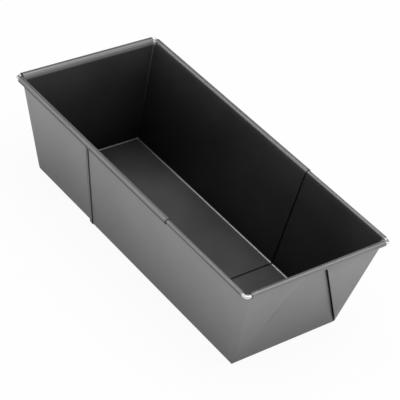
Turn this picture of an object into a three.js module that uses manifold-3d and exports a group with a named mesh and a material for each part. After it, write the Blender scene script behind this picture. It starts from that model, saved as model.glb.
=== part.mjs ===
// Adjustable loaf pan: two telescoping trays of sheet steel, each with a wire rolled into its rim.
// Millimetres, +Z up. X runs along the pan, Y across it, and the origin is on the table under its middle.
// Each tray is one folded blank: floor, two sides and an end, with the spare corner metal folded on the end.
import * as THREE from "three";
import { mergeVertices } from "three/addons/utils/BufferGeometryUtils.js";
import Module from "manifold-3d";

const wasm = await Module();
wasm.setup();

// Sheet and wire
const sheet = 0.4;
const wireDiameter = 2.2;

// Rim: width between the side rolls' middles, height of those middles, length over the end rolls
const rimWidth = 117;
const rimHeight = 75.2;
const rimLength = 263;

// Trays, each from the outside of its end roll to its open edge
const outerTrayLength = 179.2;
const innerTrayLength = 179.5;
const sideDraft = THREE.MathUtils.degToRad(10.4);
const endDraft = THREE.MathUtils.degToRad(10.15);
const floorBend = 1.0;

// Fits between the pieces
const wireClearance = 0.12;
const slideClearance = 0.18;
const floorClearance = 0.5;

// Rolled rims: how far each sheet edge curls round, in degrees, the end rolls' outside radii, and how deep
// the rolls' roots lie in the walls
const tightCurl = 300;
const slideCurl = 270;
const outerEndRoll = 2.0;
const innerEndRoll = 2.5;
const curlStep = 15;
const curlRoot = 3;

// Wires, and the corners of the rims, cut away where a wire turns
const wireBend = 2;
const wireSetback = 1;
const shortLeg = 9;
const rollSetback = 1.6;
const notchDepth = 0.5;
const wireSides = 12;
const wireBendSteps = 6;

// Hem on the outer tray's open edge, folded back on the outside
const hemWidth = 3.2;
const hemClearance = 1.1;

// Folded corners: two layers of spare sheet that stand off the end wall
const earGap = 0.5;
const earFoldGap = 0.7;
const earTilt = THREE.MathUtils.degToRad(26.2);
const earBend = 2.4;
const earClearance = 0.4;
const earReach = 5;
const earFoldSteps = 8;

// Joined strips lie this far inside the sheet's faces, so that no two faces coincide
const tuck = 0.03;
// Cutting forms run on past what they cut
const beyond = 20;
const bendSteps = 5;
const cornerSteps = 6;

const sideY = rimWidth / 2;
const wireRadius = wireDiameter / 2;
const cornerOpening = wireBend + rollSetback;
const earStand = earGap + sheet + earFoldGap + sheet;

// Inside radii of the side rolls: round a wire, and round the other tray's side roll
const rollBore = wireRadius + wireClearance;
const hookBore = rollBore + sheet + slideClearance;

// Solids

function solidOf(geometry) {
  const bare = new THREE.BufferGeometry();
  bare.setAttribute("position", geometry.getAttribute("position"));
  bare.setIndex(geometry.index);
  const merged = mergeVertices(bare);
  const vertProperties = new Float32Array(merged.attributes.position.array);
  const triVerts = new Uint32Array(merged.index.array);
  return new wasm.Manifold(new wasm.Mesh({ numProp: 3, vertProperties, triVerts }));
}

function meshOf(name, solid, material) {
  const { vertProperties, triVerts } = solid.getMesh();
  const geometry = new THREE.BufferGeometry();
  geometry.setAttribute("position", new THREE.BufferAttribute(vertProperties, 3));
  geometry.setIndex(new THREE.BufferAttribute(triVerts, 1));
  geometry.computeVertexNormals();
  const mesh = new THREE.Mesh(geometry, material);
  mesh.name = name;
  return mesh;
}

function box(from, to) {
  const size = to.clone().sub(from);
  const centre = from.clone().add(to).multiplyScalar(0.5);
  return solidOf(new THREE.BoxGeometry(size.x, size.y, size.z).translate(centre.x, centre.y, centre.z));
}

// A flat outline extruded along one direction, with the outline's own axes given in space
function extrusion(outline, frame, from, to) {
  const shape = new THREE.Shape(outline);
  const geometry = new THREE.ExtrudeGeometry(shape, { depth: to - from, bevelEnabled: false });
  return solidOf(geometry.translate(0, 0, from).applyMatrix4(frame));
}

const axisX = new THREE.Vector3(1, 0, 0);
const axisY = new THREE.Vector3(0, 1, 0);
const axisZ = new THREE.Vector3(0, 0, 1);
const alongX = new THREE.Matrix4().makeBasis(axisY, axisZ, axisX);
const alongY = new THREE.Matrix4().makeBasis(axisZ, axisX, axisY);

// Half width or half length of a drafted skin at height z, with its rounded fold at the floor
function reach(z, foot, draft, floorZ, bend) {
  const rise = bend * (1 - Math.sin(draft));
  if (z >= floorZ + rise) return foot + (z - floorZ) * Math.tan(draft);
  const bendCentre = foot - rise / Math.cos(draft);
  return bendCentre + Math.sqrt(Math.max(bend ** 2 - (floorZ + bend - z) ** 2, 0));
}

// Plan of a skin at height z: square at the open edge, with rounded corners at the end wall
function planAt(z, { openX, footX, footY, floorZ, bend, corner }) {
  const x = reach(z, footX, endDraft, floorZ, bend);
  const y = reach(z, footY, sideDraft, floorZ, bend);
  const plan = [new THREE.Vector3(openX, -y, z)];
  for (const [centreY, start] of [[corner - y, -Math.PI / 2], [y - corner, 0]]) {
    const steps = corner > 0 ? cornerSteps : 0;
    for (let i = 0; i <= steps; i++) {
      const angle = start + (steps ? (i / steps) * (Math.PI / 2) : 0);
      const across = centreY + corner * Math.sin(angle);
      plan.push(new THREE.Vector3(x - corner + corner * Math.cos(angle), across, z));
    }
  }
  plan.push(new THREE.Vector3(openX, y, z));
  return plan;
}

// The filled-in form of a tray's skin, lofted from its floor to topZ
function skin(shape) {
  const { floorZ, topZ, bend } = shape;
  const heights = [];
  for (let i = 0; i <= bendSteps; i++) {
    const angle = (i / bendSteps) * (Math.PI / 2 - Math.min(sideDraft, endDraft));
    heights.push(floorZ + bend * (1 - Math.cos(angle)));
  }
  heights.push(topZ);
  const plans = heights.map((z) => planAt(z, shape));
  const count = plans[0].length;
  const index = [];
  for (let level = 0; level < plans.length - 1; level++) {
    for (let i = 0; i < count; i++) {
      const a = level * count + i;
      const b = level * count + ((i + 1) % count);
      index.push(a, b, b + count, a, b + count, a + count);
    }
  }
  const top = (plans.length - 1) * count;
  for (let i = 1; i < count - 1; i++) {
    index.push(0, i + 1, i);
    index.push(top, top + i, top + i + 1);
  }
  const geometry = new THREE.BufferGeometry().setFromPoints(plans.flat());
  geometry.setIndex(index);
  return solidOf(geometry);
}

// Skin parallel to a tray's outer faces: walls, end and floor each moved outwards along their own normals
function offsetSkin(tray, { side, end, floor, topZ, openX, corner = 0, bend }) {
  const floorZ = tray.floorZ - floor;
  return skin({
    openX,
    topZ,
    floorZ,
    bend: bend ?? Math.max(tray.bend + floor, sheet),
    corner,
    footX: footOf(tray.endX, tray.endBore - end, floorZ, endDraft),
    footY: footOf(sideY, tray.sideBore - side, floorZ, sideDraft),
  });
}

// Where a wall that passes a given distance inside the rim's centre line meets the floor's plane
function footOf(centre, distance, floorZ, draft) {
  return centre - (distance + (rimHeight - floorZ) * Math.sin(draft)) / Math.cos(draft);
}

// Section of a rolled rim: u outwards and v up from the wire's centre, with a root that lies in the wall
function curlOutline(draft, bore, sweep) {
  const inner = bore + tuck;
  const outer = bore + sheet - tuck;
  const start = Math.PI - draft;
  const down = new THREE.Vector2(-Math.sin(draft), -Math.cos(draft)).multiplyScalar(curlRoot);
  const at = (radius, angle) => new THREE.Vector2(radius * Math.cos(angle), radius * Math.sin(angle));
  const steps = Math.round(sweep / curlStep);
  const turn = THREE.MathUtils.degToRad(sweep);
  const angles = Array.from({ length: steps + 1 }, (_, i) => start - (i / steps) * turn);
  return [
    at(outer, start).add(down),
    ...angles.map((angle) => at(outer, angle)),
    ...angles.reverse().map((angle) => at(inner, angle)),
    at(inner, start).add(down),
  ];
}

function sideRoll(tray, side) {
  const outline = curlOutline(sideDraft, tray.sideBore, tray.sideSweep);
  const placed = outline.map(({ x, y }) => new THREE.Vector2(side * (sideY + x), rimHeight + y));
  return extrusion(placed, alongX, tray.openX, tray.endX - cornerOpening);
}

function endRoll(tray) {
  const outline = curlOutline(endDraft, tray.endBore, tightCurl);
  const placed = outline.map(({ x, y }) => new THREE.Vector2(rimHeight + y, tray.endX + x));
  return extrusion(placed, alongY, cornerOpening - sideY, sideY - cornerOpening);
}

// The corner of the rim is cut away so that the wire can turn there
function cornerNotch(tray, side) {
  const low = rimHeight - notchDepth;
  const near = sideY - cornerOpening;
  const far = sideY + beyond;
  const from = new THREE.Vector3(tray.endX - cornerOpening, Math.min(side * near, side * far), low);
  const to = new THREE.Vector3(tray.endX + beyond, Math.max(side * near, side * far), rimHeight + beyond);
  return box(from, to);
}

// Section of a folded corner, square to its fold line: outer layer, round fold, inner layer
function foldOutline() {
  const high = earStand - tuck;
  const outer = (high - earGap) / 2;
  const middle = (high + earGap) / 2;
  const inner = outer - sheet + tuck;
  const length = rimHeight;
  const arc = (radius) =>
    Array.from({ length: earFoldSteps + 1 }, (_, i) => {
      const angle = Math.PI / 2 + (i / earFoldSteps) * Math.PI;
      return new THREE.Vector2(outer + radius * Math.cos(angle), middle + radius * Math.sin(angle));
    });
  return [
    new THREE.Vector2(length, middle + outer),
    ...arc(outer),
    new THREE.Vector2(length, middle - outer),
    new THREE.Vector2(length, middle - inner),
    ...arc(inner).reverse(),
    new THREE.Vector2(length, middle + inner),
  ];
}

// The spare metal of one corner, folded flat: the side wall turns the corner on to the end wall as a
// triangle, doubles back along a slanting fold and returns to the corner.
function ear(tray, side) {
  const up = new THREE.Vector3(Math.sin(endDraft), 0, Math.cos(endDraft));
  const out = new THREE.Vector3(Math.cos(endDraft), 0, -Math.sin(endDraft));
  const inwards = new THREE.Vector3(0, side * Math.cos(earTilt), 0).addScaledVector(up, Math.sin(earTilt));
  const foldFrame = new THREE.Matrix4()
    .makeBasis(inwards, out, inwards.clone().cross(out))
    .setPosition(tray.footX, side * tray.footY, tray.floorZ);

  const topZ = rimHeight - tray.endBore - sheet - earClearance;
  const room = { topZ, openX: tray.openX, corner: earBend };
  const outside = offsetSkin(tray, { ...room, side: -tuck, end: earStand, floor: -tuck });
  const inside = offsetSkin(tray, {
    topZ: topZ + beyond,
    openX: tray.openX - beyond,
    corner: earBend - sheet,
    side: tuck - sheet,
    end: earStand - sheet,
    floor: tuck - sheet,
  });
  const deep = { topZ: topZ + beyond, openX: tray.openX - beyond, floor: beyond, bend: sheet };
  const middle = offsetSkin(tray, { ...deep, side: -earReach, end: beyond });
  const body = offsetSkin(tray, { ...deep, side: beyond, end: -earReach });
  const wrap = outside.subtract(inside).subtract(middle).subtract(body);

  const span = rimHeight * 2;
  const aboveFold = [
    new THREE.Vector2(0, -beyond),
    new THREE.Vector2(span, -beyond),
    new THREE.Vector2(span, beyond),
    new THREE.Vector2(0, beyond),
  ];
  const wedge = extrusion(aboveFold, foldFrame, -span, span);
  const layers = extrusion(foldOutline(), foldFrame, -span, span);
  const clear = { side: -2 * tuck, end: earStand + beyond, floor: -2 * tuck };
  const within = offsetSkin(tray, { ...room, ...clear, corner: 0 });
  return wrap.intersect(wedge).add(layers.intersect(within).intersect(outside));
}

// A fold of the open edge, laid back against the outside of the walls and the floor
function hem(tray) {
  const topZ = rimHeight - hookBore - sheet - hemClearance;
  const outside = offsetSkin(tray, { side: sheet, end: sheet, floor: sheet, topZ, openX: tray.openX });
  const inside = offsetSkin(tray, {
    side: -sheet / 2,
    end: -sheet / 2,
    floor: -sheet / 2,
    topZ: topZ + beyond,
    openX: tray.openX - beyond,
  });
  const from = new THREE.Vector3(tray.openX, -rimWidth, -beyond);
  const to = new THREE.Vector3(tray.openX + hemWidth, rimWidth, rimHeight + beyond);
  return outside.subtract(inside).intersect(box(from, to));
}

// One tray, with its end towards +X
function trayOf({ length, floorZ, sideBore, sideSweep, endRadius, hemmed }) {
  const endX = rimLength / 2 - endRadius;
  const endBore = endRadius - sheet;
  const tray = {
    openX: rimLength / 2 - length,
    endX,
    endBore,
    floorZ,
    sideBore,
    sideSweep,
    bend: floorBend + sheet,
    footX: footOf(endX, endBore, floorZ, endDraft),
    footY: footOf(sideY, sideBore, floorZ, sideDraft),
  };
  const outside = offsetSkin(tray, { side: 0, end: 0, floor: 0, topZ: rimHeight, openX: tray.openX });
  const inside = offsetSkin(tray, {
    side: -sheet,
    end: -sheet,
    floor: -sheet,
    topZ: rimHeight + beyond,
    openX: tray.openX - beyond,
  });
  let solid = outside.subtract(inside);
  for (const side of [-1, 1]) {
    solid = solid.subtract(cornerNotch(tray, side)).add(sideRoll(tray, side)).add(ear(tray, side));
  }
  solid = solid.add(endRoll(tray));
  return hemmed ? solid.add(hem(tray)) : solid;
}

// Centre line of a rim wire: a leg, a bend, the run along the end, a bend and a leg. The wire lies against
// the outside of the rolls that hold it.
function wirePoints({ sideBore, legEndX }) {
  const endX = rimLength / 2 - sheet - wireClearance - wireRadius;
  const legY = sideY + sideBore - wireClearance - wireRadius;
  const angles = Array.from({ length: wireBendSteps + 1 }, (_, i) => (i / wireBendSteps) * (Math.PI / 2));
  const bendPoint = (side, angle) => {
    const x = endX - wireBend + wireBend * Math.sin(angle);
    const y = side * (legY - wireBend + wireBend * Math.cos(angle));
    return new THREE.Vector3(x, y, rimHeight);
  };
  return [
    new THREE.Vector3(legEndX, -legY, rimHeight),
    ...angles.map((angle) => bendPoint(-1, angle)),
    ...angles.reverse().map((angle) => bendPoint(1, angle)),
    new THREE.Vector3(legEndX, legY, rimHeight),
  ];
}

// A line through given points with one step from each to the next, turned square to the bisector at each
class WireLine extends THREE.Curve {
  constructor(points) {
    super();
    this.points = points;
  }

  getUtoTmapping(u) {
    return u;
  }

  getPoint(t, target = new THREE.Vector3()) {
    const place = t * (this.points.length - 1);
    const i = Math.min(Math.floor(place), this.points.length - 2);
    return target.lerpVectors(this.points[i], this.points[i + 1], place - i);
  }

  getTangent(t, target = new THREE.Vector3()) {
    const last = this.points.length - 1;
    const i = Math.round(t * last);
    const before = this.points[Math.max(i - 1, 0)];
    const here = this.points[i];
    const after = this.points[Math.min(i + 1, last)];
    const arrive = here.clone().sub(before).normalize();
    const leave = after.clone().sub(here).normalize();
    return target.addVectors(arrive, leave).normalize();
  }
}

function wireOf(lay) {
  const line = new WireLine(wirePoints(lay));
  const section = Array.from({ length: wireSides }, (_, i) => {
    const angle = (i / wireSides) * Math.PI * 2;
    return new THREE.Vector2(wireRadius * Math.cos(angle), wireRadius * Math.sin(angle));
  });
  const steps = line.points.length - 1;
  return solidOf(new THREE.ExtrudeGeometry(new THREE.Shape(section), { steps, extrudePath: line }));
}

// Finishes
const coatedSteel = new THREE.MeshStandardMaterial({ color: 0x4d4e50, roughness: 0.42, metalness: 0.7 });
const brightWire = new THREE.MeshStandardMaterial({ color: 0xcfd0d2, roughness: 0.28, metalness: 1 });

// The outer tray stands on its hem. The inner tray hooks its side rims over the outer tray's rolls.
const outerFloor = sheet;
const innerFloor = outerFloor + sheet + floorClearance;

const outerTray = trayOf({
  length: outerTrayLength,
  floorZ: outerFloor,
  sideBore: rollBore,
  sideSweep: tightCurl,
  endRadius: outerEndRoll,
  hemmed: true,
});
const innerTray = trayOf({
  length: innerTrayLength,
  floorZ: innerFloor,
  sideBore: hookBore,
  sideSweep: slideCurl,
  endRadius: innerEndRoll,
  hemmed: false,
});

const outerHalf = new THREE.Group();
outerHalf.add(meshOf("outer_tray", outerTray, coatedSteel));
const outerLay = { sideBore: rollBore, legEndX: rimLength / 2 - outerTrayLength + wireSetback };
outerHalf.add(meshOf("outer_rim_wire", wireOf(outerLay), brightWire));

const innerHalf = new THREE.Group();
innerHalf.add(meshOf("inner_tray", innerTray, coatedSteel));
const innerLay = { sideBore: hookBore, legEndX: rimLength / 2 - innerEndRoll - wireBend - shortLeg };
innerHalf.add(meshOf("inner_rim_wire", wireOf(innerLay), brightWire));
innerHalf.rotation.z = Math.PI;

const loafPan = new THREE.Group();
loafPan.add(outerHalf, innerHalf);

export default loafPan;
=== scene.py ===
import bmesh
import bpy
import numpy as np
from mathutils import Matrix, Vector


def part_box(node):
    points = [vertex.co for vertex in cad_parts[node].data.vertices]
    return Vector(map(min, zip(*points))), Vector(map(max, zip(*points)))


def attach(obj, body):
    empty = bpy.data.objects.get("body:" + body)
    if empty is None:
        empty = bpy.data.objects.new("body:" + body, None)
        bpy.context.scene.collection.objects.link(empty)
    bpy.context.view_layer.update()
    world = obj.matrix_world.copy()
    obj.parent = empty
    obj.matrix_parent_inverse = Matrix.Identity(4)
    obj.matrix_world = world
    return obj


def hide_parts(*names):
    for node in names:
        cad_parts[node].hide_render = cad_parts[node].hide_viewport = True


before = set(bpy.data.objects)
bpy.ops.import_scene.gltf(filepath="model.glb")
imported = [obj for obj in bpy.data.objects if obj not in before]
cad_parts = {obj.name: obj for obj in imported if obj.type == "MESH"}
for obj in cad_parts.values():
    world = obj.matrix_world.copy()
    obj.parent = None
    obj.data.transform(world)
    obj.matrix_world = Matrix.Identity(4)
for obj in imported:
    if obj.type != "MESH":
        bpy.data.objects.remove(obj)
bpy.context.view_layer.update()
mm = 0.001
weldWithin = 0.001 * mm
hair = 1e-9  # slack when places are compared

sheetSteel = {
    "gauge": 0.4 * mm,  # spacing of folded layers
    "drawn": 0.37 * mm,  # thickness as drawn: the rest is the slit between folded layers
    "wireFit": 0.12 * mm,  # slack round a wire in its roll
    "slideFit": 0.18 * mm,  # slack between the side rims of the two trays
    "sideDraft": np.radians(10.4),
    "endDraft": np.radians(10.15),
    "floorBend": 1.0 * mm,  # inside radius of the fold between floor and walls
    "notchAboveRim": 0.2 * mm,  # the walls' corners are cut off here
    "curlTightens": 0.06 * mm,  # a curl's radius shrinks by this over its first quarter turn
    "sharpAbove": np.radians(38),
}

# the outer tray's rim wire runs in the middle of the side rolls and against the outside of the end roll
wireLow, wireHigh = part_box("outer_rim_wire")
wireRadius = (wireHigh.z - wireLow.z) / 2
rim = {
    "halfLength": wireHigh.x + sheetSteel["wireFit"] + sheetSteel["gauge"],
    "sideY": wireHigh.y - wireRadius,
    "height": (wireHigh.z + wireLow.z) / 2,
}
print("rim, mm:", {key: round(value / mm, 2) for key, value in rim.items()})

rollBore = wireRadius + sheetSteel["wireFit"]
hookBore = rollBore + sheetSteel["gauge"] + sheetSteel["slideFit"]


# Mesh making

def gridQuads(rows, columns, keep=None, start=0):
    # four corners of every cell of a rows x columns grid, as one array
    index = np.arange(rows * columns).reshape(rows, columns) + start
    quads = np.stack([index[:-1, :-1], index[1:, :-1], index[1:, 1:], index[:-1, 1:]], axis=-1)
    return quads[keep] if keep is not None else quads.reshape(-1, 4)


def meshObject(name, points, faces, materials, finish=None):
    mesh = bpy.data.meshes.new(name)
    mesh.from_pydata(points.reshape(-1, 3).tolist(), [], np.asarray(faces).tolist())
    for material in materials:
        mesh.materials.append(material)
    if finish is not None:
        mesh.polygons.foreach_set("material_index", finish)
    piece = bpy.data.objects.new(name, mesh)
    bpy.context.scene.collection.objects.link(piece)
    edit = bmesh.new()
    edit.from_mesh(mesh)
    bmesh.ops.remove_doubles(edit, verts=edit.verts, dist=weldWithin)
    bmesh.ops.dissolve_degenerate(edit, edges=edit.edges, dist=weldWithin)
    bmesh.ops.delete(edit, geom=[v for v in edit.verts if not v.link_faces], context="VERTS")
    edit.to_mesh(mesh)
    edit.free()
    return piece


def smoothMesh(piece):
    mesh = piece.data
    mesh.polygons.foreach_set("use_smooth", np.ones(len(mesh.polygons), dtype=bool))
    mesh.set_sharp_from_angle(angle=sheetSteel["sharpAbove"])
    mesh.update()


def thicken(piece, thickness):
    # the drawn face stays, and the sheet grows away from it: its other face takes the next material in the
    # list and its cut edges the last one
    wall = piece.modifiers.new("sheet", "SOLIDIFY")
    wall.thickness = thickness
    wall.offset = -1
    wall.use_even_offset = True
    wall.material_offset = 1
    wall.material_offset_rim = 3
    solid = bpy.data.meshes.new_from_object(piece.evaluated_get(bpy.context.evaluated_depsgraph_get()))
    piece.modifiers.clear()
    piece.data = solid


def finishPiece(piece, body, node):
    smoothMesh(piece)
    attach(piece, body)
    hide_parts(node)


# Folded trays

sheetSteps = {  # grid lines
    "floorFold": 9,  # round the fold between floor and walls
    "wall": 13,
    "rise": 4,  # from a wall into its rim
    "curl": 44,  # round a rolled rim
    "across": 15,
    "along": 25,
    "hemTurn": 9,
    "hemRun": 4,
    "corner": 7,
}


def footOf(centre, distance, floorZ, draft):
    # where a wall that passes a given distance inside the rim's centre line meets the floor's plane
    return centre - (distance + (rim["height"] - floorZ) * np.sin(draft)) / np.cos(draft)


def reachAt(z, foot, draft, floorZ, bend):
    # distance from the middle at height z: a straight drafted wall, and a quarter-round fold under it
    rise = bend * (1 - np.sin(draft))
    wall = foot + (z - floorZ) * np.tan(draft)
    fold = foot - rise / np.cos(draft) + np.sqrt(np.maximum(bend**2 - (floorZ + bend - z) ** 2, 0))
    return np.where(z - floorZ >= rise, wall, fold)


def curlLine(centre, draft, bore, sweep, fromZ):
    # from fromZ up the wall's line to where it touches the curl's circle, then round that circle
    widest = bore + sheetSteel["gauge"]
    touchZ = rim["height"] + widest * np.sin(draft)
    rise = np.linspace(fromZ, touchZ, sheetSteps["rise"])[1:-1]
    riseOut = centre - (widest + (rim["height"] - rise) * np.sin(draft)) / np.cos(draft)
    turn = np.linspace(0, np.radians(sweep), sheetSteps["curl"])
    angle = np.pi - draft - turn
    radius = widest - sheetSteel["curlTightens"] * np.clip(turn / (np.pi / 2), 0, 1)
    out = np.concatenate([riseOut, centre + radius * np.cos(angle)])
    up = np.concatenate([rise, rim["height"] + radius * np.sin(angle)])
    return out, up


def foldTop(tray):
    # top of the folded corners, just under the end roll
    return rim["height"] - tray["endBore"] - sheetSteel["gauge"] - cornerFold["belowRoll"]


def trayLevels(tray):
    # heights of the grid lines on the walls, with the walls' reach and the corners' radius at each
    bend, draft = sheetSteel["floorBend"], sheetSteel["sideDraft"]
    floorZ = tray["floorTop"]
    notchZ = rim["height"] + sheetSteel["notchAboveRim"]
    steepest = np.pi / 2 - min(draft, sheetSteel["endDraft"])
    foldTurn = np.linspace(0, steepest, sheetSteps["floorFold"])
    foldZ = floorZ + bend * (1 - np.cos(foldTurn))
    wallZ = np.linspace(foldZ[-1], foldTop(tray), sheetSteps["wall"])[1:]
    z = np.sort(np.concatenate([foldZ, wallZ, [notchZ], [tray["hemTop"]] if tray["hemWidth"] else []]))
    sideFoot = footOf(rim["sideY"], tray["bore"] + sheetSteel["gauge"], floorZ, draft)
    endFoot = footOf(tray["endX"], tray["endBore"] + sheetSteel["gauge"], floorZ, sheetSteel["endDraft"])
    side = reachAt(z, sideFoot, draft, floorZ, bend)
    end = reachAt(z, endFoot, sheetSteel["endDraft"], floorZ, bend)
    places = [floorZ, floorZ + tray["cornerFoot"], foldTop(tray), notchZ]
    radii = [0, tray["cornerFoot"], tray["cornerTop"], tray["cornerRim"]]
    return z, side, end, np.interp(z, places, radii)


def gridOf(x, y, z):
    # the points of a grid, from coordinates that stretch to one shape
    return np.stack(np.broadcast_arrays(x, y, z), -1)


def hemPatch(tray, startX, sectionY, sectionZ, rimColumn):
    # the hem: a half turn round the open edge and a run back outside, along each column's normal
    gauge = sheetSteel["gauge"]
    slopeY, slopeZ = np.gradient(sectionY), np.gradient(sectionZ)
    length = np.hypot(slopeY, slopeZ)
    outY, outZ = slopeZ / length, -slopeY / length
    halfTurn = np.linspace(np.pi, 0, sheetSteps["hemTurn"])[:-1]
    run = np.linspace(tray["hemWidth"] - gauge, 0, sheetSteps["hemRun"])[:-1]
    hemX = np.concatenate([startX + run, startX - gauge * np.sin(halfTurn)])
    hemOff = np.concatenate([np.full(len(run), 2 * gauge), gauge * (1 - np.cos(halfTurn))])[:, None]
    # on the walls the raw edge of the hem stands off a little
    hemOff = hemOff + tray["hemLift"] * np.clip((hemX - startX) / run[0], 0, 1)[:, None] * outY**2
    hem = gridOf(hemX[:, None], sectionY + hemOff * outY, sectionZ + hemOff * outZ)
    hemColumn = ~rimColumn & (sectionZ <= tray["hemTop"] + hair)
    hemCell = (hemColumn[:-1] & hemColumn[1:])[None, :]
    return hem, np.broadcast_to(hemCell, (len(hemX), hemCell.shape[1]))


def channelPatch(tray, levels, across):
    # floor, sides and side rims: one section, rim, wall, floor, wall, rim, carried along the pan
    z, side, end, corner = levels
    topEnd = end[-1] - corner[-1]
    startX = tray["openX"] + (sheetSteel["gauge"] if tray["hemWidth"] else 0)

    rimOut, rimUp = curlLine(rim["sideY"], sheetSteel["sideDraft"], tray["bore"], tray["sweep"], z[-1])
    halfOut, halfUp = np.concatenate([side[1:], rimOut]), np.concatenate([z[1:], rimUp])
    halfEnd = np.concatenate([(end - corner)[1:], np.full(len(rimOut), topEnd)])
    isRim = np.arange(len(halfOut)) >= len(side) - 1
    sectionY = np.concatenate([-halfOut[::-1], across * side[0], halfOut])
    sectionZ = np.concatenate([halfUp[::-1], np.full(len(across), z[0]), halfUp])
    sectionEnd = np.concatenate([halfEnd[::-1], np.full(len(across), end[0]), halfEnd])
    rimColumn = np.concatenate([isRim[::-1], np.zeros(len(across), bool), isRim])

    # rows from the open edge to the end, with one where the side rims stop
    rimStop = (tray["endX"] - tray["cornerOpening"] - startX) / (topEnd - startX)
    along = np.concatenate([np.linspace(0, rimStop, sheetSteps["along"]), [(1 + rimStop) / 2, 1]])
    channel = gridOf(startX + along[:, None] * (sectionEnd - startX), sectionY, sectionZ)
    rimCell = rimColumn[:-1] | rimColumn[1:]
    keep = ~rimCell[None, :] | (along[1:, None] <= rimStop + hair)
    finish = np.broadcast_to(rimCell, keep.shape).astype(np.int32)
    if tray["hemWidth"]:
        hem, hemKeep = hemPatch(tray, startX, sectionY, sectionZ, rimColumn)
        channel = np.concatenate([hem, channel])
        keep = np.concatenate([hemKeep, keep])
        finish = np.concatenate([hemKeep.astype(np.int32), finish])
    return channel, keep, finish


def endWallPatch(tray, levels, across):
    # the end wall: its levels and then its rim, carried across, with the rim a column shorter at each end
    z, side, end, corner = levels
    endOut, endUp = curlLine(tray["endX"], sheetSteel["endDraft"], tray["endBore"], tray["endSweep"], z[-1])
    wallX, wallZ = np.concatenate([end, endOut]), np.concatenate([z, endUp])
    halfWidth = np.concatenate([side - corner, np.full(len(endOut), side[-1] - corner[-1])])
    endWall = gridOf(wallX[:, None], halfWidth[:, None] * across, wallZ[:, None])
    inside = np.abs(across) < 1
    isWall = (np.arange(1, len(wallX)) < len(z))[:, None]
    keep = isWall | (inside[:-1] & inside[1:])[None, :]
    return endWall, keep, np.broadcast_to(~isWall, keep.shape).astype(np.int32)


def cornerPatches(levels):
    # the upright corners: quarter circles about each corner's axis, one at each level
    z, side, end, corner = levels
    turn = np.linspace(np.pi / 2, 0, sheetSteps["corner"])[:, None]
    cornerX = end - corner + corner * np.cos(turn)
    cornerY = side - corner + corner * np.sin(turn)
    keep = np.ones((len(turn) - 1, len(z) - 1), bool)
    finish = np.zeros(keep.shape, np.int32)
    return [
        (gridOf(cornerX, cornerY, z), keep, finish),
        (gridOf(cornerX, -cornerY, z)[:, ::-1], keep, finish),
    ]


def traySheet(tray):
    # one folded blank as four grids that share their borders
    levels = trayLevels(tray)
    side, corner = levels[1], levels[3]
    # floor columns from side to side, with one at each end of the end wall's rim
    rimEnd = (rim["sideY"] - tray["cornerOpening"]) / (side[-1] - corner[-1])
    across = np.concatenate([[-1], np.linspace(-rimEnd, rimEnd, sheetSteps["across"]), [1]])
    patches = [channelPatch(tray, levels, across), endWallPatch(tray, levels, across)]
    patches += cornerPatches(levels)
    points, faces, finish, count = [], [], [], 0
    for patch, kept, coats in patches:
        points.append(patch.reshape(-1, 3))
        faces.append(gridQuads(*patch.shape[:2], kept, count))
        finish.append(coats[kept])
        count += patch.shape[0] * patch.shape[1]
    return np.concatenate(points), np.concatenate(faces), np.concatenate(finish)


cornerFold = {
    "gap": 0.06 * mm,  # inner layer to end wall at the corner
    "stand": 0.84 * mm,  # outer layer's face above the end wall at the corner
    "root": 6 * mm,  # how far the layer lies in the side wall before it turns
    "tilt": np.radians(26.2),  # of the fold line, from the upright
    "tuck": 0.01 * mm,
    "fullWidth": 3.4 * mm,  # narrower than this, near its foot, the fold shrinks with its width
    "fullLift": 7 * mm,  # and from here on it stands off by its whole lift
    "heldDown": 0.6,  # the rim takes this share of the lift away at the top
    "heldBelow": 5 * mm,
    "fromFloor": 0.8 * mm,
    "belowRoll": 0.15 * mm,
    "bulgePlace": 1.7,  # above 1, the bulge lies nearer to the fold line
    "levels": 40,
    "rootSteps": 8,
    "turnSteps": 16,
    "crossSteps": 26,
    "foldSteps": 14,
    "backSteps": 8,
}


def foldFoot(tray):
    # where the outer faces of floor, end wall and side wall meet
    floorZ = tray["floorTop"] - sheetSteel["gauge"]
    footX = footOf(tray["endX"], tray["endBore"], floorZ, sheetSteel["endDraft"])
    footY = footOf(rim["sideY"], tray["bore"], floorZ, sheetSteel["sideDraft"])
    return footX, footY, floorZ


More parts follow.
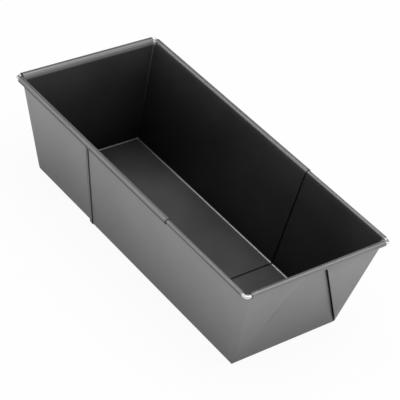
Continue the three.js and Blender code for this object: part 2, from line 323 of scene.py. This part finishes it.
def cornerFoldSheet(tray, hand):
    # spare metal of one corner: at each height up the end wall, a section runs out along the side wall,
    # turns the corner, crosses the end wall to the slanting fold line, doubles back and returns to the turn
    fold = cornerFold
    sideDraft, endDraft = sheetSteel["sideDraft"], sheetSteel["endDraft"]
    footX, footY, floorZ = foldFoot(tray)
    foot = np.array([footX, hand * footY, floorZ])
    up = np.array([np.sin(endDraft), 0, np.cos(endDraft)])
    out = np.array([np.cos(endDraft), 0, -np.sin(endDraft)])
    across = np.array([0, hand, 0])

    top = (foldTop(tray) - floorZ) / np.cos(endDraft)
    height = np.linspace(np.sqrt(fold["fromFloor"]), np.sqrt(top), fold["levels"])[:, None] ** 2
    cornerAt = height * np.tan(sideDraft) * np.cos(endDraft) - fold["tuck"]
    foldAt = -height * np.tan(fold["tilt"])
    share = np.clip((cornerAt - foldAt) / fold["fullWidth"], 0, 1)
    stand = fold["stand"] * share
    gap = fold["gap"] * share
    bend = (tray["bendFoot"] + (tray["bendTop"] - tray["bendFoot"]) * height / top) * share
    lift = tray["foldLift"][hand] * np.clip((cornerAt - foldAt) / fold["fullLift"], 0, 1)
    lift = lift * (1 - fold["heldDown"] * np.clip(1 - (top - height) / fold["heldBelow"], 0, 1) ** 2)
    thickness = sheetSteel["drawn"] * share
    foldRadius = (stand - gap) / 2

    # stations of a section: side run, turn, crossing, double back, return
    sideRun = -fold["root"] + np.linspace(0, 1, fold["rootSteps"])[:-1] * (stand - bend + fold["root"])
    quarter = np.linspace(0, np.pi / 2, fold["turnSteps"])
    half = np.linspace(np.pi / 2, 3 * np.pi / 2, fold["foldSteps"])
    run = np.linspace(0, 1, fold["crossSteps"])[1:-1]
    back = np.linspace(0, 1, fold["backSteps"])[1:]
    skew = np.sin(endDraft) * np.tan(sideDraft)  # of the side wall's plane, away from the end wall
    crossFrom = cornerAt - (stand - bend) * skew - bend
    crossTo = foldAt + foldRadius
    returned = crossTo + back * (crossFrom - crossTo)
    bulge = tray["foldBulge"][hand] * np.sin(np.pi * run ** fold["bulgePlace"]) * height / top
    placeA = np.concatenate([
        cornerAt - sideRun * skew,
        cornerAt - (stand - bend) * skew - bend + bend * np.cos(quarter),
        crossFrom + run * (crossTo - crossFrom),
        crossTo + foldRadius * np.cos(half),
        returned,
    ], axis=1)
    placeH = np.concatenate([
        sideRun,
        stand - bend + bend * np.sin(quarter),
        stand + lift * run + bulge,
        stand + lift - foldRadius + foldRadius * np.sin(half),
        gap + lift * (1 - back),
    ], axis=1)
    facing = np.concatenate([
        np.zeros(sideRun.shape[1]),
        quarter,
        np.full(len(run), np.pi / 2),
        half,
        np.full(len(back), 3 * np.pi / 2),
    ])
    insideA = placeA - thickness * np.cos(facing)
    insideH = placeH - thickness * np.sin(facing)
    loopA = np.concatenate([placeA, insideA[:, ::-1]], axis=1)
    loopH = np.concatenate([placeH, insideH[:, ::-1]], axis=1)
    points = foot + loopA[..., None] * across + loopH[..., None] * out + height[..., None] * up

    rows, columns = loopA.shape
    closed = np.concatenate([points, points[:, :1]], axis=1)
    faces = gridQuads(rows, columns + 1)
    strip = np.arange(columns // 2 - 1)
    cap = np.stack([strip, strip + 1, columns - 2 - strip, columns - 1 - strip], axis=-1)
    faces = np.concatenate([faces, cap[:, ::-1], cap + (rows - 1) * (columns + 1)])
    # past the middle of the fold line the layer is in the dark behind the outer one, and takes the darker
    # inside coat as painted shade
    hidden = np.arange(columns) >= placeA.shape[1] - len(back) - len(half) // 2
    finish = np.concatenate([np.tile(hidden, rows - 1), np.zeros(2 * len(strip), bool)]).astype(np.int32)
    return closed, faces if hand > 0 else faces[:, ::-1], finish


def turned(points, turn):
    # the inner tray is drawn like the outer one and turned half round about the upright axis
    return points * np.array([turn, turn, 1])


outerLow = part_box("outer_tray")[0]
innerLow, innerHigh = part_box("inner_tray")
outerEndRoll = 2.0 * mm  # outside radius of the end rims
innerEndRoll = 2.5 * mm
hemBelowRim = 1.1 * mm  # from the inner tray's side rim down to the top of the hem
innerSag = 0.2 * mm  # the inner floor hangs a little towards the outer one

outerTray = {
    "node": "outer_tray",
    "body": "outer_half",
    "turn": 1,
    "openX": outerLow.x,
    "floorTop": outerLow.z + 2 * sheetSteel["gauge"],  # hem below, then the floor
    "bore": rollBore,
    "sweep": 300,  # degrees that the side rims curl round
    "endX": rim["halfLength"] - outerEndRoll,
    "endBore": outerEndRoll - sheetSteel["gauge"],
    "endSweep": 300,
    "hemWidth": 3.2 * mm,
    "hemTop": rim["height"] - hookBore - sheetSteel["gauge"] - hemBelowRim,
    "hemLift": 0.18 * mm,
    "cornerOpening": 3.6 * mm,  # the rolled rims stop this far from the rim's corner
    "cornerFoot": 1.6 * mm,  # inside radius of the upright corners at the floor
    "cornerTop": 3.5 * mm,  # and at the folded corners' top
    "cornerRim": 0.7 * mm,  # and between the ends of the rolled rims
    "bendFoot": 2.2 * mm,  # outside radius round the folded corners at their foot
    "bendTop": 4.2 * mm,  # and at their top
    "foldLift": {1: 1.4 * mm, -1: 0.3 * mm},  # how far the left and right fold spring off the end wall
    "foldBulge": {1: 0.2 * mm, -1: 1.2 * mm},  # rise of its outer layer between corner and fold
}
innerTray = {
    "node": "inner_tray",
    "body": "inner_half",
    "turn": -1,
    "openX": -innerHigh.x,
    "floorTop": innerLow.z + sheetSteel["gauge"] - innerSag,
    "bore": hookBore,
    "sweep": 270,
    "endX": rim["halfLength"] - innerEndRoll,
    "endBore": innerEndRoll - sheetSteel["gauge"],
    "endSweep": 300,
    "hemWidth": 0,
    "cornerOpening": 3.0 * mm,
    "cornerFoot": 0.3 * mm,
    "cornerTop": 0.8 * mm,
    "cornerRim": 0.3 * mm,
    "bendFoot": 0.6 * mm,
    "bendTop": 1.6 * mm,
    "foldLift": {1: 0.4 * mm, -1: 0.7 * mm},
    "foldBulge": {1: 0.5 * mm, -1: 0.3 * mm},
}


# Rim wires

rimWire = {
    "bend": 2 * mm,
    "endRound": 0.3 * mm,
    "sides": 24,
    "bendSteps": 13,
    "runSteps": 30,
}


def wireTube(node, turn):
    # a circle carried along leg, bend, end run, bend and leg; the end rings close to a point, rounded
    low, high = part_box(node)
    legEndX = low.x if turn > 0 else -high.x
    endX = (high.x if turn > 0 else -low.x) - wireRadius
    legY = high.y - wireRadius
    bend = rimWire["bend"]
    angle = np.linspace(0, np.pi / 2, rimWire["bendSteps"])
    bendX = endX - bend + bend * np.sin(angle)
    bendY = legY - bend + bend * np.cos(angle)
    legX = np.linspace(legEndX + rimWire["endRound"], bendX[0], rimWire["runSteps"])[:-1]
    runY = np.linspace(-bendY[-1], bendY[-1], rimWire["runSteps"])[1:-1]
    lead = np.full(len(legX), legY)
    x = np.concatenate([legX, bendX, np.full(len(runY), endX), bendX[::-1], legX[::-1]])
    y = np.concatenate([-lead, -bendY, runY, bendY[::-1], lead])
    x = np.concatenate([[legEndX, legEndX], x, [legEndX, legEndX]])
    y = np.concatenate([[-legY, -legY], y, [legY, legY]])
    flat = 1 - rimWire["endRound"] / wireRadius
    radius = wireRadius * np.concatenate([[0, flat], np.ones(len(x) - 4), [flat, 0]])
    direction = np.stack([np.gradient(x), np.gradient(y)], -1)
    direction[:2] = [1, 0]
    direction[-2:] = [-1, 0]
    direction /= np.linalg.norm(direction, axis=1, keepdims=True)
    around = np.linspace(0, 2 * np.pi, rimWire["sides"] + 1)
    sideways = radius[:, None] * np.cos(around)
    points = np.stack([
        x[:, None] + direction[:, 1:] * sideways,
        y[:, None] - direction[:, :1] * sideways,
        rim["height"] + radius[:, None] * np.sin(around),
    ], -1)
    return points, gridQuads(len(x), len(around))


# Materials

class Flow:
    # one output socket in a material; sums and products of flows add Math nodes
    def __init__(self, tree, socket):
        self.tree, self.socket = tree, socket

    def node(self, kind, settings, inputs, output=0):
        made = self.tree.nodes.new(kind)
        for key, value in settings.items():
            setattr(made, key, value)
        for key, value in inputs.items():
            if isinstance(value, Flow):
                self.tree.links.new(value.socket, made.inputs[key])
            else:
                made.inputs[key].default_value = value
        return Flow(self.tree, made.outputs[output])

    def calc(self, operation, first, second):
        return self.node("ShaderNodeMath", {"operation": operation}, {0: first, 1: second})

    def __add__(self, other):
        return self.calc("ADD", self, other)

    def __radd__(self, other):
        return self.calc("ADD", other, self)

    def __sub__(self, other):
        return self.calc("SUBTRACT", self, other)

    def __rsub__(self, other):
        return self.calc("SUBTRACT", other, self)

    def __mul__(self, other):
        return self.calc("MULTIPLY", self, other)

    def __rmul__(self, other):
        return self.calc("MULTIPLY", other, self)

    def size(self):
        return self.calc("ABSOLUTE", self, 0)

    def largest(self, other):
        return self.calc("MAXIMUM", self, other)

    def part(self, axis):
        return self.node("ShaderNodeSeparateXYZ", {}, {"Vector": self}, output=axis)

    def noise(self, scale, detail, roughness):
        return self.node("ShaderNodeTexNoise", {}, {
            "Vector": self, "Scale": scale, "Detail": detail, "Roughness": roughness})

    def between(self, low, high):
        # 0 below low, 1 above high
        return self.node("ShaderNodeMapRange", {}, {"Value": self, "From Min": low, "From Max": high})

    def mixed(self, first, second):
        # colours blended by this flow
        return self.node("ShaderNodeMix", {"data_type": "RGBA"}, {0: self, 6: first, 7: second}, output=2)

    def bump(self, distance, strength, normal=None):
        inputs = {"Height": self, "Distance": distance, "Strength": strength}
        if normal is not None:
            inputs["Normal"] = normal
        return self.node("ShaderNodeBump", {}, inputs)


def newMaterial(name):
    material = bpy.data.materials.new(name)
    material.use_nodes = True
    tree = material.node_tree
    shader = tree.nodes["Principled BSDF"]
    place = Flow(tree, tree.nodes.new("ShaderNodeTexCoord").outputs["Object"])
    return material, shader, place


def feed(shader, name, flow):
    flow.tree.links.new(flow.socket, shader.inputs[name])


satinGrain = {  # each noise has a scale, a detail and a roughness
    "cloud": (16, 3, 0.55),
    "speckle": (2600, 2, 0.6),
    "cloudShare": 0.75,
    "toneRange": (0.3, 0.7),
    "cloudDull": 0.08,  # how much they vary the roughness
    "speckleDull": 0.06,
    "wave": (13, 1, 0.4),
    "waveDepth": 0.9 * mm,
    "waveStrength": 0.35,
    "peel": (900, 2, 0.5),
    "peelDepth": 0.02 * mm,
    "peelStrength": 0.2,
}


def satinTone(place):
    # soft cloudy tone and fine speckle, 0 to 1
    cloud = place.noise(*satinGrain["cloud"])
    speckle = place.noise(*satinGrain["speckle"])
    blend = cloud * satinGrain["cloudShare"] + speckle * (1 - satinGrain["cloudShare"])
    uneven = (cloud - 0.5) * satinGrain["cloudDull"] + (speckle - 0.5) * satinGrain["speckleDull"]
    return blend.between(*satinGrain["toneRange"]), uneven


def satinNormal(place):
    # fine orange peel on the slow waviness of thin sheet
    wave = place.noise(*satinGrain["wave"]).bump(satinGrain["waveDepth"], satinGrain["waveStrength"])
    return place.noise(*satinGrain["peel"]).bump(satinGrain["peelDepth"], satinGrain["peelStrength"], wave)


foldShading = {
    "wallFace": (-0.9 * mm, -0.7 * mm),  # off the end wall's outer face: nothing behind this
    "layerFace": (0.3 * mm, 0.5 * mm),  # and the dark ends before the fold's outer layer
    "topFade": 0.3 * mm,
    "lineSoft": 0.1 * mm,  # half the width of the dark's edge along the fold line
    "darkSlope": 0.3,  # the dark narrows towards the foot
    "darkFade": 0.4 * mm,
    "handSoft": 0.1 * mm,
    "crease": {1: 0, -1: 0.46},  # soft shade along the left and right fold line
    "creaseRise": (-0.4 * mm, 1.3 * mm),  # across the fold line, from the wall's side
    "creaseFall": (1.3 * mm, 7.5 * mm),
    "creaseTop": (44 * mm, 66 * mm),  # it fades out between these heights
}


def foldShade(tray, place):
    # painted shade where the end wall runs under a folded corner, and soft painted shade along some of the
    # fold lines
    footX, footY, floorZ = foldFoot(tray)
    lean = sheetSteel["endDraft"]
    ahead = place.part(0) * tray["turn"] - footX
    above = place.part(2) - floorZ
    upWall = above * np.cos(lean) + ahead * np.sin(lean)
    offWall = ahead * np.cos(lean) - above * np.sin(lean)
    hand = place.part(1) * tray["turn"]
    past = hand.size() - footY + upWall * np.tan(cornerFold["tilt"])
    fromWall = offWall.between(*foldShading["wallFace"])
    belowTop = 1 - place.part(2).between(foldTop(tray) - foldShading["topFade"], foldTop(tray))
    onWall = fromWall * (1 - offWall.between(*foldShading["layerFace"])) * belowTop
    narrowing = (upWall * foldShading["darkSlope"] - past).between(0, foldShading["darkFade"])
    under = past.between(-foldShading["lineSoft"], foldShading["lineSoft"]) * narrowing
    soft = past.between(*foldShading["creaseRise"]) * (1 - past.between(*foldShading["creaseFall"]))
    left, right = foldShading["crease"][1], foldShading["crease"][-1]
    share = right + hand.between(-foldShading["handSoft"], foldShading["handSoft"]) * (left - right)
    crease = soft * share * (1 - upWall.between(*foldShading["creaseTop"])) * fromWall
    return (under * onWall).largest(crease)


rimShading = {  # painted shade on the rims; for the end rims, 1 is the outer tray's and -1 the inner tray's
    "side": 0.95,  # on the lower flank of the side rims
    "sideBelow": (-0.7 * mm, 0.3 * mm),  # it sets in here, below the middle of the roll
    "end": {1: 0.2, -1: 0.95},  # on the lower flank of the end rims
    "endBelow": (-0.2 * mm, 0.6 * mm),
    "beyond": (0.1 * mm, 0.5 * mm),  # out from the middle of the roll
    "lowest": (-4 * mm, -3.5 * mm),  # what lies lower is wall
    "top": {1: 0.10, -1: 0.24},  # on top of the end rims
    "topAbove": (0.5 * mm, 1.4 * mm),
    "topFrom": (-2.6 * mm, -2.4 * mm),
}


def rollShade(tray, place):
    # painted shade on the lower flank of the rims, out beyond the middle of their rolls, and on the top of
    # the end rims
    above = place.part(2) - rim["height"]
    below = rim["height"] - place.part(2)
    pastEnd = place.part(0) * tray["turn"] - tray["endX"]
    outSide = (place.part(1).size() - rim["sideY"]).between(*rimShading["beyond"])
    outSide = outSide * below.between(*rimShading["sideBelow"]) * rimShading["side"]
    outEnd = pastEnd.between(*rimShading["beyond"])
    outEnd = outEnd * below.between(*rimShading["endBelow"]) * rimShading["end"][tray["turn"]]
    flank = above.between(*rimShading["lowest"]) * outSide.largest(outEnd)
    onEnd = pastEnd.between(*rimShading["topFrom"])
    top = above.between(*rimShading["topAbove"]) * onEnd * rimShading["top"][tray["turn"]]
    return flank.largest(top)


bendLight = {
    # painted light: a lighter band on the bend from the end walls into their rims
    "colour": (0.72, 0.72, 0.725, 1),
    "from": (-2.2 * mm, -1.0 * mm),  # heights above the middle of the roll
    "to": (0.4 * mm, 1.5 * mm),
    "near": (0.5 * mm, 0.9 * mm),  # distances before the middle of the roll
    "far": (4 * mm, 4.5 * mm),
}


def paintedBendLight(tray, place):
    # painted light on the bend from the end wall into its rim, as far as the top of the roll
    above = place.part(2) - rim["height"]
    toEnd = tray["endX"] - place.part(0) * tray["turn"]
    inside = toEnd.between(*bendLight["near"]) * (1 - toEnd.between(*bendLight["far"]))
    return above.between(*bendLight["from"]) * (1 - above.between(*bendLight["to"])) * inside


outsideCoat = {
    "dark": (0.240, 0.241, 0.244, 1),
    "light": (0.288, 0.289, 0.292, 1),
    "shade": (0.012, 0.012, 0.012, 1),  # colour of the painted shade: under the folded corners, on the rims, at the walls' foot and on the hem
    "metallic": 0.8,
    "roughness": 0.37,
    "footShade": 0.40,  # painted shade: how much darker it is at the foot of the walls
    "footHeight": 62 * mm,
    "endFootShade": 0.46,  # and at the very foot of the end walls
    "endFootHeight": 7 * mm,
    "endFootSoft": 0.5 * mm,
    "hemShade": 0.50,  # and on the hem
    "hemSoft": 0.1 * mm,
    "hemEdgeShade": 0.55,  # and at the hem's fold
    "hemEdge": (0.4 * mm, 1.0 * mm),
}


def hemShade(tray, place):
    # painted shade on the hem, a little darker at its fold
    ahead = place.part(0) - tray["openX"]
    soft = outsideCoat["hemSoft"]
    onHem = 1 - ahead.between(tray["hemWidth"] - soft, tray["hemWidth"])
    atFold = 1 - ahead.between(*outsideCoat["hemEdge"])
    belowRim = 1 - place.part(2).between(tray["hemTop"], tray["hemTop"] + soft)
    hem = (onHem * outsideCoat["hemShade"]).largest(atFold * outsideCoat["hemEdgeShade"])
    return hem * belowRim


def footShade(tray, place):
    # painted shade at the foot of the walls, deeper at the very foot of the end walls
    footX = foldFoot(tray)[0]
    height = place.part(2)
    onEnd = (place.part(0) * tray["turn"]).between(footX - outsideCoat["endFootSoft"], footX)
    endFoot = 1 - height.between(0, outsideCoat["endFootHeight"])
    foot = (1 - height.between(0, outsideCoat["footHeight"])) * outsideCoat["footShade"]
    return foot.largest(endFoot * onEnd * outsideCoat["endFootShade"])


def outsideCoated(tray):
    # satin coat on the outside and the rims
    material, shader, place = newMaterial(tray["node"] + "_coat")
    tone, uneven = satinTone(place)
    # painted shade at the walls' foot, on the rims, under and along the folded corners and on the hem
    shade = footShade(tray, place).largest(rollShade(tray, place)).largest(foldShade(tray, place))
    if tray["hemWidth"]:
        shade = shade.largest(hemShade(tray, place))
    colour = tone.mixed(outsideCoat["dark"], outsideCoat["light"])
    # painted light on the bend into the end rim
    colour = paintedBendLight(tray, place).mixed(colour, bendLight["colour"])
    feed(shader, "Base Color", shade.mixed(colour, outsideCoat["shade"]))
    feed(shader, "Roughness", outsideCoat["roughness"] + uneven)
    feed(shader, "Normal", satinNormal(place))
    shader.inputs["Metallic"].default_value = outsideCoat["metallic"]
    return material


insideCoat = {
    "dark": (0.128, 0.128, 0.129, 1),
    "light": (0.198, 0.198, 0.199, 1),
    "deep": (0.020, 0.020, 0.020, 1),  # colour of the painted shade inside the pan
    "deepWall": 0.92,  # its share at the foot of the walls
    "deepRise": 60 * mm,
    "deepEnd": 0.78,  # and on the floor before the end wall
    "deepReach": (14 * mm, 75 * mm),
    "foldGlint": (0.64, 0.64, 0.645, 1),  # painted highlight on the fold round the floor
    "foldGlintFrom": (0.05, 0.2),  # heights in shares of that fold's radius
    "foldGlintTo": (0.5, 0.9),
    "wallFrom": (1, 1.5),
    "metallic": 0.95,
    "roughness": 0.42,
    "stripFrom": 3.2 * mm,  # below the rim's middle it fades a little towards the outside coat: a lighter strip, painted light
    "stripFull": 0.8 * mm,
    "stripShare": 0.4,
    "edgeLine": (0.35 * mm, 0.6 * mm),  # painted shadow line along the open edge
}


def insideCoated(tray):
    # coat on the inside, up to the rim, painted darker than the outside as painted shade for the inside of
    # the pan
    material, shader, place = newMaterial(tray["node"] + "_inside_coat")
    tone, uneven = satinTone(place)
    height = place.part(2)
    along = place.part(0) * tray["turn"]
    floorTop = tray["floorTop"]

    def overFold(key):
        return height.between(*[floorTop + share * sheetSteel["floorBend"] for share in insideCoat[key]])

    strip = height.between(rim["height"] - insideCoat["stripFrom"], rim["height"] - insideCoat["stripFull"])
    foldGlint = overFold("foldGlintFrom") * (1 - overFold("foldGlintTo"))
    # painted shade, darker towards the foot of the walls and on the floor before the end wall
    low = (1 - height.between(floorTop, floorTop + insideCoat["deepRise"])) * insideCoat["deepWall"]
    close = (1 - (tray["endX"] - along).between(*insideCoat["deepReach"])) * insideCoat["deepEnd"]
    atEdge = 1 - (along - tray["openX"]).between(*insideCoat["edgeLine"])
    lining = tone.mixed(insideCoat["dark"], insideCoat["light"])
    lining = (close + overFold("wallFrom") * (low - close)).mixed(lining, insideCoat["deep"])
    # painted highlight on the fold round the floor, weaker towards the end wall
    lining = (foldGlint * (1 - close)).mixed(lining, insideCoat["foldGlint"])
    # painted shadow along the open edge
    lining = atEdge.mixed(lining, insideCoat["deep"])
    # painted light: the lighter strip below the rim
    thin = tone.mixed(outsideCoat["dark"], outsideCoat["light"])
    lining = (strip * insideCoat["stripShare"]).mixed(lining, thin)
    # painted light on the bend into the end rim
    feed(shader, "Base Color", paintedBendLight(tray, place).mixed(lining, bendLight["colour"]))
    feed(shader, "Roughness", insideCoat["roughness"] + uneven)
    feed(shader, "Normal", satinNormal(place))
    shader.inputs["Metallic"].default_value = insideCoat["metallic"]
    return material


cutEdge = {
    "dark": (0.06, 0.06, 0.062, 1),
    "light": (0.11, 0.11, 0.112, 1),
    "scratch": (3000, 3, 0.7),
    "roughness": 0.3,
    "scratchDull": 0.2,
}


def cutSteel():
    # sheared edge of the sheet: steel with fine scratches, painted dark as painted shade for the gaps along
    # the seams
    material, shader, place = newMaterial("cut_steel")
    scratch = place.noise(*cutEdge["scratch"])
    feed(shader, "Base Color", scratch.mixed(cutEdge["dark"], cutEdge["light"]))
    feed(shader, "Roughness", cutEdge["roughness"] + scratch * cutEdge["scratchDull"])
    shader.inputs["Metallic"].default_value = 1
    return material


drawnWire = {
    "dull": (0.82, 0.82, 0.83, 1),
    "bright": (0.94, 0.94, 0.94, 1),
    "dulling": (220, 3, 0.6),
    "marks": (4200, 2, 0.6),
    "roughness": 0.26,
    "dullingDull": 0.12,
    "marksDull": 0.06,
    "markDepth": 0.01 * mm,
    "markStrength": 0.15,
}


def brightSteel():
    # drawn wire: nearly white steel with fine draw marks and a little dulling
    material, shader, place = newMaterial("bright_steel")
    dull = place.noise(*drawnWire["dulling"])
    mark = place.noise(*drawnWire["marks"])
    feed(shader, "Base Color", dull.mixed(drawnWire["dull"], drawnWire["bright"]))
    rough = drawnWire["roughness"] + dull * drawnWire["dullingDull"] + mark * drawnWire["marksDull"]
    feed(shader, "Roughness", rough)
    feed(shader, "Normal", mark.bump(drawnWire["markDepth"], drawnWire["markStrength"]))
    shader.inputs["Metallic"].default_value = 1
    return material


edgeFinish = cutSteel()
wireFinish = brightSteel()

for tray in (outerTray, innerTray):
    insideFinish = insideCoated(tray)
    outsideFinish = outsideCoated(tray)
    sheetFinishes = [insideFinish, outsideFinish, outsideFinish, edgeFinish]
    points, faces, finish = traySheet(tray)
    name = tray["node"] + "_sheet"
    piece = meshObject(name, turned(points, tray["turn"]), faces, sheetFinishes, finish)
    thicken(piece, sheetSteel["drawn"])
    finishPiece(piece, tray["body"], tray["node"])
    for hand, label in ((1, "left"), (-1, "right")):
        points, faces, finish = cornerFoldSheet(tray, hand)
        name = tray["node"] + "_corner_fold_" + label
        piece = meshObject(name, turned(points, tray["turn"]), faces, [outsideFinish, insideFinish], finish)
        finishPiece(piece, tray["body"], tray["node"])
    node = tray["node"].replace("tray", "rim_wire")
    points, faces = wireTube(node, tray["turn"])
    piece = meshObject(node + "_drawn", turned(points, tray["turn"]), faces, [wireFinish])
    finishPiece(piece, tray["body"], node)
    print("folded and wired", tray["node"])


# Stage, light and camera

white = (1, 1, 1, 1)
stage = {
    "floorHalf": 4.0,
    "floorDark": (0.88, 0.88, 0.88, 1),
    "floorLight": (0.91, 0.91, 0.91, 1),
    "floorGrain": (60, 2, 0.5),
    "floorRoughness": 0.9,
    "shadowKept": 0.06,  # share of the floor's own shading that the camera sees
    "mirrored": 0.4,  # share of the white floor that the metal shows
    "horizon": 1.0,  # the studio's walls
    "ceiling": 0.15,
    "wallsToCeiling": (0.08, 0.42),  # upward part of the direction, where one fades into the other
    "aim": (0, 0, 0.04),
    "softboxes": {  # place, size and power
        "top_softbox": ((0.12, 0.12, 1.6), 1.5, 20),
        "left_softbox": ((-0.87, -0.75, 1.0), 0.8, 3),
        "right_softbox": ((0.75, 0.82, 1.05), 0.8, 3),
    },
}


def paleFloor():
    # white to the camera apart from a soft shadow
    material, shader, place = newMaterial("pale_floor")
    shader.inputs["Roughness"].default_value = stage["floorRoughness"]
    shader.inputs["Specular IOR Level"].default_value = 0
    grain = place.noise(*stage["floorGrain"])
    feed(shader, "Base Color", grain.mixed(stage["floorDark"], stage["floorLight"]))
    glow = place.node("ShaderNodeEmission", {}, {"Color": white, "Strength": 1})
    path = place.tree.nodes.new("ShaderNodeLightPath")
    camera, glossy, through = [Flow(place.tree, path.outputs["Is " + kind + " Ray"])
                               for kind in ("Camera", "Glossy", "Transmission")]
    share = (camera.largest(through) * (1 - stage["shadowKept"])).largest(glossy * stage["mirrored"])
    lit = Flow(place.tree, shader.outputs["BSDF"])
    both = place.node("ShaderNodeMixShader", {}, {0: share, 1: lit, 2: glow})
    place.tree.links.new(both.socket, place.tree.nodes["Material Output"].inputs["Surface"])
    return material


half = stage["floorHalf"]
floorPoints = np.array([[-half, -half, 0], [half, -half, 0], [half, half, 0], [-half, half, 0]])
floor = meshObject("floor", floorPoints, [[0, 1, 2, 3]], [paleFloor()])

world = bpy.data.worlds.new("studio")
bpy.context.scene.world = world
world.use_nodes = True
skyNodes = world.node_tree.nodes
sky = skyNodes["Background"]
sky.inputs["Color"].default_value = white
skyWay = Flow(world.node_tree, skyNodes.new("ShaderNodeTexCoord").outputs["Generated"])
seen = Flow(world.node_tree, skyNodes.new("ShaderNodeLightPath").outputs["Is Camera Ray"])
toCeiling = skyWay.part(2).between(*stage["wallsToCeiling"])
studio = stage["horizon"] + toCeiling * (stage["ceiling"] - stage["horizon"])
skyLevel = studio + seen * (1 - studio)
world.node_tree.links.new(skyLevel.socket, sky.inputs["Strength"])


def softbox(name, place, size, power):
    lamp = bpy.data.lights.new(name, "AREA")
    lamp.shape = "SQUARE"
    lamp.size = size
    lamp.energy = power
    holder = bpy.data.objects.new(name, lamp)
    holder.location = place
    holder.rotation_euler = (Vector(stage["aim"]) - Vector(place)).to_track_quat("-Z", "Y").to_euler()
    bpy.context.scene.collection.objects.link(holder)


for name, (place, size, power) in stage["softboxes"].items():
    softbox(name, place, size, power)

# the photograph's view: a long lens, looking down on the near corner, with the camera a little rolled
view = {
    "azimuth": np.radians(46.942),
    "elevation": np.radians(37.068),
    "roll": np.radians(10.305),
    "distance": 1.1598,
    "aim": Vector((-9.42, 19.61, 24.42)) * mm,
    "lens": 150.70,
    "sensor": 36,
}
toCamera = Vector((
    np.sin(view["azimuth"]) * np.cos(view["elevation"]),
    -np.cos(view["azimuth"]) * np.cos(view["elevation"]),
    np.sin(view["elevation"]),
))
levelRight = Vector((np.cos(view["azimuth"]), np.sin(view["azimuth"]), 0))
levelUp = toCamera.cross(levelRight)
right = levelRight * np.cos(view["roll"]) + levelUp * np.sin(view["roll"])
up = toCamera.cross(right)
camera = bpy.data.objects.new("camera", bpy.data.cameras.new("camera"))
camera.data.lens = view["lens"]
camera.data.sensor_width = view["sensor"]
spot = view["aim"] + toCamera * view["distance"]
camera.matrix_world = Matrix((right, up, toCamera)).transposed().to_4x4()
camera.matrix_world.translation = spot
bpy.context.scene.collection.objects.link(camera)
bpy.context.scene.camera = camera
bpy.context.scene.view_settings.view_transform = "Standard"
print("stage and camera set")
